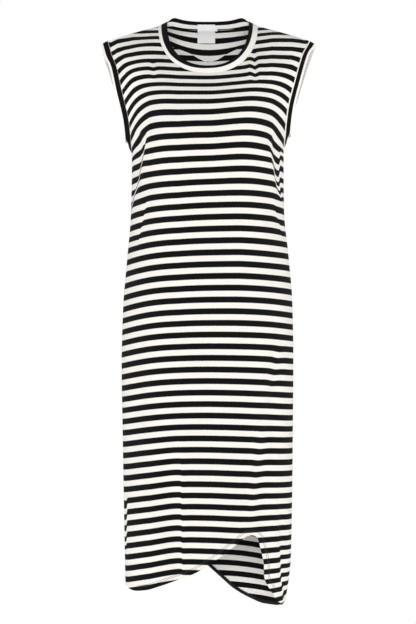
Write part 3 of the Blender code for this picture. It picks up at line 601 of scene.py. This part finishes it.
def shell(name, outer, inner, materials, stripe, uv, closed=False):
    """A closed shell of cloth between two grids of points, with the stripe count and a map for its knit."""
    rows, columns = outer.shape[:2]
    faces, layer = grid_faces(rows, columns, closed)
    points = np.concatenate([outer.reshape(-1, 3), inner.reshape(-1, 3)])
    p, q, r, s = (points[faces[:, k]] for k in range(4))
    if np.einsum("ij,ij->i", p, np.cross(q - p, r - p) + np.cross(r - p, s - p)).sum() < 0:
        faces = faces[:, ::-1]
    thing = new_piece(name, points, faces)
    mesh = thing.data
    for material in materials:
        mesh.materials.append(material)
    face_material = np.zeros(len(faces), np.int32)
    face_material[layer : 2 * layer] = len(materials) - 1
    mesh.polygons.foreach_set("material_index", face_material)
    counts = mesh.attributes.new("stripe", "FLOAT", "POINT")
    counts.data.foreach_set("value", np.tile(np.ravel(stripe), 2).astype(np.float32))
    corner = np.empty(len(mesh.loops), np.int32)
    mesh.loops.foreach_get("vertex_index", corner)
    flat = np.tile(uv.reshape(-1, 2), (2, 1)) * MM
    mesh.uv_layers.new(name="cloth").data.foreach_set("uv", flat[corner].astype(np.float32).ravel())
    mesh.shade_smooth()
    mesh.set_sharp_from_angle(angle=math.radians(CREASE_ANGLE))
    return thing


def finish_piece(thing, slot, *nodes):
    """Hangs the piece from the root body and hides the solids that it stands for. Its slot is not used."""
    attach(thing, "root")
    if nodes:
        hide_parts(*nodes)
    return thing


class Nodes:
    """A short way to build a material's nodes."""

    def __init__(self, name):
        self.material = bpy.data.materials.new(name)
        self.material.use_nodes = True
        self.tree = self.material.node_tree
        self.shader = self.tree.nodes["Principled BSDF"]

    def add(self, kind, **values):
        node = self.tree.nodes.new(kind)
        for key, value in values.items():
            setattr(node, key, value)
        return node

    def put(self, socket, value):
        if isinstance(value, bpy.types.NodeSocket):
            self.tree.links.new(value, socket)
        else:
            socket.default_value = value

    def math(self, operation, first, second=0.0, third=0.0):
        node = self.add("ShaderNodeMath", operation=operation)
        for socket, value in zip(node.inputs, (first, second, third)):
            self.put(socket, value)
        return node.outputs[0]

    def ramp(self, value, low, high, to_low=0.0, to_high=1.0):
        node = self.add("ShaderNodeMapRange", interpolation_type="SMOOTHSTEP")
        keys = ("Value", "From Min", "From Max", "To Min", "To Max")
        for key, given in zip(keys, (value, low, high, to_low, to_high)):
            self.put(node.inputs[key], given)
        return node.outputs[0]

    def mix(self, factor, first, second, blend="MIX"):
        node = self.add("ShaderNodeMix", data_type="RGBA", blend_type=blend)
        self.put(node.inputs["Factor"], factor)
        for socket, value in ((node.inputs[6], first), (node.inputs[7], second)):
            self.put(socket, (*value, 1) if isinstance(value, tuple) else value)
        return node.outputs[2]

    def toned(self, colour, shade):
        """A colour, darkened where shade is below 1."""
        return self.mix(1.0, colour, self.mix(shade, (0, 0, 0), (1, 1, 1)), "MULTIPLY")

    def attribute(self, name):
        return self.add("ShaderNodeAttribute", attribute_name=name).outputs["Fac"]

    def cloth_map(self):
        """The cloth's own map, and its two distances in metres."""
        uv = self.add("ShaderNodeUVMap", uv_map="cloth").outputs[0]
        split = self.add("ShaderNodeSeparateXYZ")
        self.put(split.inputs[0], uv)
        return uv, split.outputs[0], split.outputs[1]

    def noise(self, vector, scale, detail):
        node = self.add("ShaderNodeTexNoise")
        self.put(node.inputs["Vector"], vector)
        node.inputs["Scale"].default_value = scale
        node.inputs["Detail"].default_value = detail
        return node.outputs["Fac"]

    def bump(self, height, distance, strength):
        node = self.add("ShaderNodeBump")
        node.inputs["Distance"].default_value = distance
        node.inputs["Strength"].default_value = strength
        self.put(node.inputs["Height"], height)
        self.put(self.shader.inputs["Normal"], node.outputs[0])

    def finish(self, colour, roughness, sheen, specular):
        self.put(self.shader.inputs["Base Color"], colour)
        self.shader.inputs["Roughness"].default_value = roughness
        self.shader.inputs["Sheen Weight"].default_value = sheen
        self.shader.inputs["Sheen Roughness"].default_value = 0.6
        self.shader.inputs["Specular IOR Level"].default_value = specular
        return self.material


def knit_height(nodes):
    """The height of a fine single knit: columns of V stitches that follow the cloth's own map."""
    uv, across, down = nodes.cloth_map()
    wales = nodes.math("MULTIPLY", across, 2 * math.pi / (settings().wale * MM))
    courses = nodes.math("MULTIPLY", down, 2 * math.pi / (settings().course * MM))
    lean = nodes.math("ABSOLUTE", nodes.math("SINE", nodes.math("MULTIPLY", wales, 0.5)))
    loops = nodes.math("SINE", nodes.math("ADD", courses, lean))
    columns = nodes.math("COSINE", wales)
    return nodes.math("MULTIPLY_ADD", columns, KNIT_WALES, loops), uv


def striped_jersey(name, white, black, share, from_count):
    """Jersey whose stripe attribute says what is black: a count of stripes, or a distance into the black."""
    nodes = Nodes(name)
    count = nodes.attribute("stripe")
    height, uv = knit_height(nodes)
    wander = nodes.math("MULTIPLY_ADD", nodes.noise(uv, WANDER_SCALE, 1), WANDER, -WANDER / 2)
    if from_count:
        off = nodes.math("SUBTRACT", nodes.math("FRACT", nodes.math("ADD", count, 0.5)), 0.5)
        off = nodes.math("ADD", nodes.math("ABSOLUTE", off), wander)
        dark = nodes.ramp(off, share / 2 + STRIPE_SOFTNESS, share / 2 - STRIPE_SOFTNESS)
    else:
        inside = nodes.math("MULTIPLY_ADD", wander, BAND_WANDER, count)
        dark = nodes.ramp(inside, -BAND_SOFTNESS, BAND_SOFTNESS)
    # Painted shade: soft random patches where the white is a little darker.
    pale = nodes.toned(white, nodes.ramp(nodes.noise(uv, PAINTED_SHADE_SCALE, 3), *PAINTED_SHADE_RANGE, PAINTED_SHADE_DARK, 1.0))
    lint = nodes.ramp(nodes.noise(uv, LINT_SCALE, 1), *LINT_RANGE)
    light = tuple(LINT_LIGHT * channel for channel in black)
    deep = nodes.mix(nodes.math("MULTIPLY", lint, LINT_SHARE), black, light)
    nodes.bump(height, settings().knit_depth * MM, PANEL_BUMP if from_count else BAND_BUMP)
    return nodes.finish(nodes.mix(dark, pale, deep), roughness=0.92, sheen=0.02, specular=0.06)


def fabric(name):
    """A finished cloth material, made once."""
    made = bpy.data.materials.get(name)
    if made:
        return made
    look = settings()
    # The inside faces get a lighter white than the outside, as painted light for the dim inside.
    white = look.inside_white_painted_light if name == "jersey_inside" else look.white
    return striped_jersey(name, tuple(white), tuple(look.black), look.black_share, name != "jersey_band")


def plain_weave(name, colour, pitch, depth, roughness, sheen):
    """A close woven or corded cloth in one colour, such as a label or a tape, with painted shade between its
    threads.
    """
    nodes = Nodes(name)
    threads = [
        nodes.math("SINE", nodes.math("MULTIPLY", distance, 2 * math.pi / (pitch * MM)))
        for distance in nodes.cloth_map()[1:]
    ]
    weave = nodes.math("MULTIPLY", *threads)
    nodes.bump(weave, depth * MM, WEAVE_BUMP)
    # Painted shade: the colour is a little darker where the weave is low, between the threads.
    toned = nodes.toned(colour, nodes.ramp(weave, -1, 1, 0.9, 1.0))
    return nodes.finish(toned, roughness, sheen, specular=0.3)


def make_panel(name, panel):
    """One striped panel as a shell of cloth."""
    turn, level = panel_grid(panel)
    outer = panel_point(panel, turn, level)
    inner = panel_point(panel, turn, level, settings().cloth)
    # The inner layer wears the lighter inside white, which is painted light.
    materials = (fabric("jersey_outside"), fabric("jersey_inside"))
    return shell(name, outer, inner, materials, stripe_count(panel, turn, level), cloth_uv(outer))


def shared_ends(front, back):
    """The points between two panels' edges at their first and last corners, each as a row."""
    return [((front[place] + back[place]) / 2)[None] for place in (0, -1)]


def neck_edge(panel, inward):
    """Points along a panel's neck edge, from its left neck point to its right one."""
    return panel_point(panel, *neck_curve(panel, settings().neck_columns), inward)


def neck_loop(inward):
    """Points round the neck edge of both panels, from the left neck point along the front and back again."""
    front, back = neck_edge(FRONT, inward), neck_edge(BACK, inward)
    left, right = shared_ends(front, back)
    return np.concatenate([front[1:-1], right, back[-2:0:-1], left])


def neck_stand(count):
    """The direction in which the neck band stands, for each point of the neck's loop."""
    place = (np.arange(count) + 1) / count * 2 * math.pi
    along_x, to_front = -np.cos(place), np.sin(place)
    front, side, back = (np.array(way) for way in NECK_STAND.values())
    stand = np.where(to_front[:, None] > 0, front, back) * (to_front**2)[:, None]
    sideways = side * np.stack([-np.sign(along_x), np.ones(count), np.ones(count)], 1)
    heel = np.where(to_front > 0, FRONT_HEEL, BACK_HEEL)
    return stand + sideways * (np.abs(along_x) ** heel)[:, None]


def armhole_loop(side, inward):
    """Points round an armhole, from the shoulder down the front and up the back. side is -1 or 1."""
    down = yoke_rows()
    front, back = (
        panel_point(panel, side, panel["ridge"] + (UNDERARM - panel["ridge"]) * down, inward)
        for panel in (FRONT, BACK)
    )
    shoulder, underarm = shared_ends(front, back)
    return np.concatenate([shoulder, front[1:-1], underarm, back[-2:0:-1]])


def armhole_stand(side):
    """The direction in which an armhole band stands, for each point of its loop."""
    down = yoke_rows()
    round_loop = np.concatenate([down, down[-2:0:-1]])[:, None]
    shoulder, middle, underarm = (np.array(way) for way in ARMHOLE_STAND.values())
    stand = shoulder + (middle - shoulder) * smoothstep(*SHOULDER_TURN, round_loop)
    stand = stand + (underarm - middle) * smoothstep(*UNDERARM_TURN, round_loop)
    to_middle = np.where(np.arange(len(stand)) < settings().yoke_rows + 1, 1, -1)
    return stand * np.stack([np.full(len(stand), side), to_middle, np.ones(len(stand))], 1)


# A band's section: height up the band as a share of its width, and how far its middle line lies out, in
# millimetres. It runs from the seam up the outer face, given here, over the fold and down the inner face.
BAND_FRONT = (
    (0.02, 0.42), (0.1, 0.62), (0.25, 0.72), (0.42, 0.76), (0.58, 0.76), (0.74, 0.76), (0.87, 0.74),
    (0.945, 0.62), (0.975, 0.36),
)
BAND_SECTION = (*BAND_FRONT, (0.985, 0.0), *((up, -out) for up, out in reversed(BAND_FRONT)))


def neck_width(count):
    """The neck band's width round its loop, which is wider at the sides and narrower behind."""
    place = (np.arange(count) + 1) / count * 2 * math.pi
    behind = np.maximum(-np.sin(place), 0) ** 2
    return BAND_WIDTH * (1 + NECK_SIDE_EXTRA * np.cos(place) ** 2 - NECK_BACK_LESS * behind)


def make_band(name, edge_out, edge_in, stand, blackness, width):
    """A strip folded lengthwise round a loop. blackness gives the distance into the black across the band."""
    tangent = unit(np.roll(edge_out, -1, 0) - np.roll(edge_out, 1, 0))
    stand = unit(stand)
    across = unit(np.cross(tangent, stand))
    across = across * np.sign(np.einsum("ij,ij->i", across, edge_out - edge_in))[:, None]
    root = (edge_out + edge_in) / 2
    section = np.array(BAND_SECTION)
    up = section[:, :1] * width
    line = root + stand * up[..., None] + across * section[:, 1][:, None, None]
    along = np.gradient(line, axis=0)
    normal = unit(along - tangent * np.einsum("ijk,jk->ij", along, tangent)[..., None])
    normal = np.cross(tangent[None], normal)
    facing = np.sign(np.einsum("jk,jk->j", normal[2], across))[:, None]
    normal = normal * facing * BAND_LAYER / 2
    place = running(np.hypot(*np.diff(section * [BAND_WIDTH, 1], axis=0).T))
    length = running(np.linalg.norm(np.diff(root, axis=0), axis=1))
    uv = np.stack(np.broadcast_arrays(length[None], place[:, None]), -1)
    dark = blackness(place[:, None], np.arange(len(root)) / len(root))
    return shell(name, line + normal, line - normal, (fabric("jersey_band"),), dark, uv, closed=True)


def neck_black(place, share):
    """Across the neck band: off-white next to the seam, black to the fold, and off-white again inside."""
    white_in = BAND_WIDTH + BACK_BAND_BLACK
    return np.minimum(place - np.interp(share, *zip(*NECK_WHITE)), white_in - place)


def armhole_black(side):
    """Across an armhole band: a sliver of off-white at the seam, then black, and off-white over the fold."""
    seam = ARMHOLE_WHITE + side
    return lambda place, share: np.minimum(ARMHOLE_BLACK - place, place - seam) + 0 * share


def on_back(x, z, inward):
    """Points that lie on the back panel's inner face, seen from the front at x, z, and so far off it."""
    turn, level = locate(BACK, x, z)
    return panel_point(BACK, turn, level, settings().cloth + inward)


def laid_shell(name, x, z, material, stripe):
    """A thin piece that lies inside the back panel, over a grid of x, z points."""
    near, far = on_back(x, z, LAID_GAP), on_back(x, z, LAID_GAP + LAID_THICKNESS)
    return shell(name, far, near, (material,), stripe, cloth_uv(near))


def facing_grid():
    """The grid of x, z points that the facing covers, from the neck seam down to its lower edge."""
    low_x, low_z = curve_through(FACING_EDGE, FACING_COLUMNS)
    neck = neck_edge(BACK, settings().cloth)
    high_z = np.interp(low_x, neck[:, 0], neck[:, 2]) - FACING_DROP
    low_z = np.minimum(low_z, high_z - FACING_DROP)
    z = high_z + (low_z - high_z) * np.linspace(0, 1, FACING_ROWS + 1)[:, None]
    return np.broadcast_to(low_x, z.shape), z


def facing_count(x, z):
    """The stripe count on the facing, whose stripes bow up to the sides."""
    share = (x / FACING_BOW_X) ** 2
    heights = [row[0] + np.where(x < 0, row[1], row[2]) * share for row in FACING_STRIPES]
    first = (heights[0] - z) / (heights[0] - heights[1])
    second = 1 + (heights[1] - z) / (heights[1] - heights[2])
    return np.where(z > heights[1], first, second)


def make_facing():
    """The half-moon of striped jersey inside the back neck."""
    x, z = facing_grid()
    seen_x, seen_z = as_seen(on_back(x, z, LAID_GAP))
    # The facing wears the lighter inside white, which is painted light.
    return laid_shell("back_neck_facing_cloth", x, z, fabric("jersey_inside"), facing_count(seen_x, seen_z))


def make_tab(name, place, off, material):
    """A woven tab inside the back neck, at a place such as NECK_LABEL's and so far off the panel."""
    centre_x, span, width = place
    seam_z = BACK_NECK_BOTTOM - FACING_DROP
    columns = centre_x + np.linspace(-width / 2, width / 2, TAB_COLUMNS + 1)
    grid_x, grid_z = np.meshgrid(columns, np.linspace(*span, TAB_ROWS + 1))
    lean = np.array(NECK_STAND["back"])
    up = np.maximum(grid_z - seam_z, 0)[..., None]
    rest = on_back(grid_x, np.minimum(grid_z, seam_z), off)
    swell = np.minimum(up / BAND_WIDTH * 2, 1)
    face = rest + up * lean / lean[2] - swell * np.array([0, 1, 0])
    back = face + np.array([0, LABEL_THICKNESS, 0])
    return shell(name, face, back, (material,), np.zeros(grid_x.shape), cloth_uv(face))


def hem_edge(panel, inward):
    """x and z of the points along a panel's hem."""
    turn, level = panel_grid(panel)
    return panel_point(panel, turn[-1], level[-1], inward)[:, [0, 2]]


def to_left(ways):
    """Directions in x and z, turned a quarter to the left."""
    return np.stack([-ways[:, 1], ways[:, 0]], 1)


def make_tape():
    """The narrow black strip inside the back's hem."""
    hem = hem_edge(BACK, settings().cloth)[1:-1]
    up = to_left(unit(np.gradient(hem, axis=0)))
    places = hem + up * np.linspace(TAPE_TOP, TAPE_FOOT, TAPE_ROWS + 1)[:, None, None]
    black = tuple(settings().black)
    tape = plain_weave("black_tape", black, pitch=0.7, depth=0.15, roughness=0.9, sheen=0.05)
    x, z = places[..., 0], places[..., 1]
    return laid_shell("back_hem_tape", x, z, tape, np.zeros(x.shape))


def make_hem_stitches():
    """The two rows of stitches that hold the front's hem, each stitch a small block on the outer face. Their
    dark thread is painted shade for the stitching's groove.
    """
    hem = hem_edge(FRONT, 0.0)
    up = to_left(unit(np.gradient(hem, axis=0)))
    places = []
    for row_height in HEM_STITCH_ROWS:
        line = (hem + up * row_height)[HEM_STITCH_ENDS:-HEM_STITCH_ENDS]
        run = running(np.hypot(*np.diff(line, axis=0).T))
        starts = np.arange(0, run[-1] - STITCH_PITCH, STITCH_PITCH)
        start, end = (
            np.stack([np.interp(at, run, line[:, axis]) for axis in (0, 1)], 1)
            for at in (starts, starts + STITCH_LENGTH)
        )
        aside = to_left(unit(end - start)) * STITCH_WIDTH / 2
        places.append(np.stack([start - aside, end - aside, end + aside, start + aside], 1))
    corners = np.concatenate(places)
    turn, level = locate(FRONT, corners[..., 0], corners[..., 1])
    sides = [panel_point(FRONT, turn, level, inward) for inward in (STITCH_SINK, -STITCH_HEIGHT)]
    points = np.concatenate(sides, 1).reshape(-1, 3)
    block = [(3, 2, 1, 0), (4, 5, 6, 7), (0, 1, 5, 4), (1, 2, 6, 5), (2, 3, 7, 6), (3, 0, 4, 7)]
    faces = (np.array(block) + 8 * np.arange(len(corners))[:, None, None]).reshape(-1, 4)
    thing = new_piece("hem_stitches", points, faces)
    # The thread's near-black colour is painted shade for the groove along the stitching.
    colour = (*settings().thread_painted_shade, 1)
    thing.data.materials.append(Nodes("hem_thread").finish(colour, roughness=0.8, sheen=0.0, specular=0.1))
    return thing


class TankDressSettings(bpy.types.PropertyGroup):
    """Sizes and colours of the dress's cloth."""

    cloth: FloatProperty(
        name="Cloth", description="Thickness of the jersey in millimetres", default=0.9, min=0.3, max=1.5
    )
    course: FloatProperty(name="Course", description="Height of a row of stitches in mm", default=0.85)
    wale: FloatProperty(name="Wale", description="Width of a column of stitches in mm", default=0.95)
    knit_depth: FloatProperty(name="Knit Depth", description="Height of the stitches in mm", default=0.16)
    black_share: FloatProperty(
        name="Black Share", description="Share of black in each stripe pair", default=0.52, subtype="FACTOR"
    )
    white: FloatVectorProperty(
        name="White", description="Off-white yarn", default=(0.86, 0.83, 0.785), subtype="COLOR"
    )
    # Lighter than White: painted light that brightens the dimly lit inside faces and the facing.
    inside_white_painted_light: FloatVectorProperty(
        name="Reverse White", description="Its wrong side", default=(0.93, 0.905, 0.87), subtype="COLOR"
    )
    black: FloatVectorProperty(
        name="Black", description="Black yarn", default=(0.0045, 0.004, 0.004), subtype="COLOR"
    )
    label: FloatVectorProperty(
        name="Label", description="Woven label", default=(0.95, 0.95, 0.94), subtype="COLOR"
    )
    # Near black: the hem's real stitches, darkened as painted shade for their groove.
    thread_painted_shade: FloatVectorProperty(
        name="Thread", description="Hem thread", default=(0.06, 0.055, 0.05), subtype="COLOR"
    )
    neck_columns: IntProperty(name="Neck Columns", description="Columns along each neck edge", default=90)
    shoulder_columns: IntProperty(
        name="Shoulder Columns", description="Columns along one shoulder", default=34
    )
    yoke_rows: IntProperty(name="Yoke Rows", description="Rows down to the underarm", default=76)
    skirt_rows: IntProperty(name="Skirt Rows", description="Rows from underarm to hem", default=170)
    floor: FloatProperty(name="Floor", description="Height of the floor", default=-1.9, unit="LENGTH")
    daylight: FloatProperty(name="Daylight", description="Strength of the even light", default=0.33)
    softbox: FloatProperty(name="Softbox", description="Watts of each large side lamp", default=84.0)
    front_light: FloatProperty(name="Front Light", description="Watts of the front lamp", default=230.0)


class DRESS_OT_panels(bpy.types.Operator):
    """Make the front and back panels of striped jersey"""

    bl_idname = "tank_dress.panels"
    bl_label = "Panels"

    def execute(self, context):
        front = finish_piece(make_panel("front_cloth", FRONT), "striped_jersey", "front_panel")
        finish_piece(make_panel("back_cloth", BACK), "striped_jersey", "back_panel")
        finish_piece(make_hem_stitches(), "striped_jersey")
        return {"FINISHED"}


class DRESS_OT_bands(bpy.types.Operator):
    """Make the folded bands round the neck and the armholes"""

    bl_idname = "tank_dress.bands"
    bl_label = "Bands"

    def execute(self, context):
        outer, inner = neck_loop(0), neck_loop(settings().cloth)
        count = len(outer)
        neck = make_band("neck_band_cloth", outer, inner, neck_stand(count), neck_black, neck_width(count))
        finish_piece(neck, "band_jersey", "neck_band")
        for name, side in (("armhole_band_left", -1), ("armhole_band_right", 1)):
            outer, inner = armhole_loop(side, 0), armhole_loop(side, settings().cloth)
            width = np.full(len(outer), BAND_WIDTH)
            band = make_band(name + "_cloth", outer, inner, armhole_stand(side), armhole_black(side), width)
            finish_piece(band, "band_jersey", name)
        return {"FINISHED"}


class DRESS_OT_inside(bpy.types.Operator):
    """Make the facing, the label, the size tab and the tape inside the back"""

    bl_idname = "tank_dress.inside"
    bl_label = "Inside Pieces"

    def execute(self, context):
        facing = finish_piece(make_facing(), "striped_jersey", "back_neck_facing")
        tape = finish_piece(make_tape(), "black_binding", "back_hem_binding")
        white = tuple(settings().label)
        woven = plain_weave("woven_label_cloth", white, pitch=0.5, depth=0.08, roughness=0.6, sheen=0.1)
        off = LAID_GAP + LAID_THICKNESS + SEAM_GAP
        tab = make_tab("size_tab_cloth", SIZE_TAB, off + LABEL_THICKNESS, woven)
        finish_piece(tab, "woven_label", "size_tab")
        label_off = off + 2 * LABEL_THICKNESS + SEAM_GAP
        label = make_tab("neck_label_cloth", NECK_LABEL, label_off, woven)
        finish_piece(label, "woven_label", "neck_label")
        return {"FINISHED"}


def soft_lamp(name, location, size, power):
    """A large square lamp that faces the dress."""
    bpy.ops.object.light_add(type="AREA", location=location)
    lamp = bpy.context.object
    lamp.name = name
    lamp.data.size = size
    lamp.data.energy = power
    away = np.array(location) - np.array(LAMP_TARGET)
    tilt = math.acos(away[2] / np.linalg.norm(away))
    lamp.rotation_euler = (tilt, 0, math.atan2(away[1], away[0]) + math.pi / 2)


class DRESS_OT_stage(bpy.types.Operator):
    """Make the pale floor, the soft light and the camera"""

    bl_idname = "tank_dress.stage"
    bl_label = "Stage"

    def execute(self, context):
        look = settings()
        bpy.ops.mesh.primitive_plane_add(size=FLOOR_SIZE, location=(0, 0, look.floor))
        floor = context.object
        floor.name = "floor"
        pale = Nodes("pale_floor").finish((0.9, 0.9, 0.9, 1), roughness=0.9, sheen=0.0, specular=0.1)
        floor.data.materials.append(pale)
        world = bpy.data.worlds.new("studio")
        world.use_nodes = True
        light = world.node_tree.nodes["Background"]
        light.inputs["Color"].default_value = (1, 1, 1, 1)
        # The backdrop looks plain white, however strong the light from it is.
        seen = world.node_tree.nodes.new("ShaderNodeLightPath")
        strength = world.node_tree.nodes.new("ShaderNodeMapRange")
        strength.inputs["To Min"].default_value = look.daylight
        world.node_tree.links.new(seen.outputs["Is Camera Ray"], strength.inputs["Value"])
        world.node_tree.links.new(strength.outputs[0], light.inputs["Strength"])
        context.scene.world = world
        for name, location, size, power in LAMPS:
            soft_lamp(name, location, size, getattr(look, power))
        place = (0, -SEEN_FROM * MM, SEEN_HEIGHT * MM)
        bpy.ops.object.camera_add(location=place, rotation=(math.pi / 2, 0, 0))
        camera = context.object
        camera.data.sensor_width = CAMERA_SENSOR
        camera.data.lens = CAMERA_LENS
        context.scene.camera = camera
        context.scene.view_settings.view_transform = "Standard"
        return {"FINISHED"}


class DRESS_PT_panel(bpy.types.Panel):
    """Lists the dress's pieces and sizes"""

    bl_label = "Tank Dress"
    bl_idname = "DRESS_PT_panel"
    bl_space_type = "VIEW_3D"
    bl_region_type = "UI"
    bl_category = "Tank Dress"

    def draw(self, context):
        for operator in OPERATORS:
            self.layout.operator(operator.bl_idname)
        for name in TankDressSettings.__annotations__:
            self.layout.prop(context.scene.tank_dress, name)


OPERATORS = (DRESS_OT_panels, DRESS_OT_bands, DRESS_OT_inside, DRESS_OT_stage)
CLASSES = (TankDressSettings, *OPERATORS, DRESS_PT_panel)


def register():
    for item in CLASSES:
        bpy.utils.register_class(item)
    bpy.types.Scene.tank_dress = PointerProperty(type=TankDressSettings)


def unregister():
    del bpy.types.Scene.tank_dress
    for item in reversed(CLASSES):
        bpy.utils.unregister_class(item)


def main():
    register()
    bpy.ops.tank_dress.panels()
    bpy.ops.tank_dress.bands()
    bpy.ops.tank_dress.inside()
    bpy.ops.tank_dress.stage()


if __name__ == "__main__":
    main()
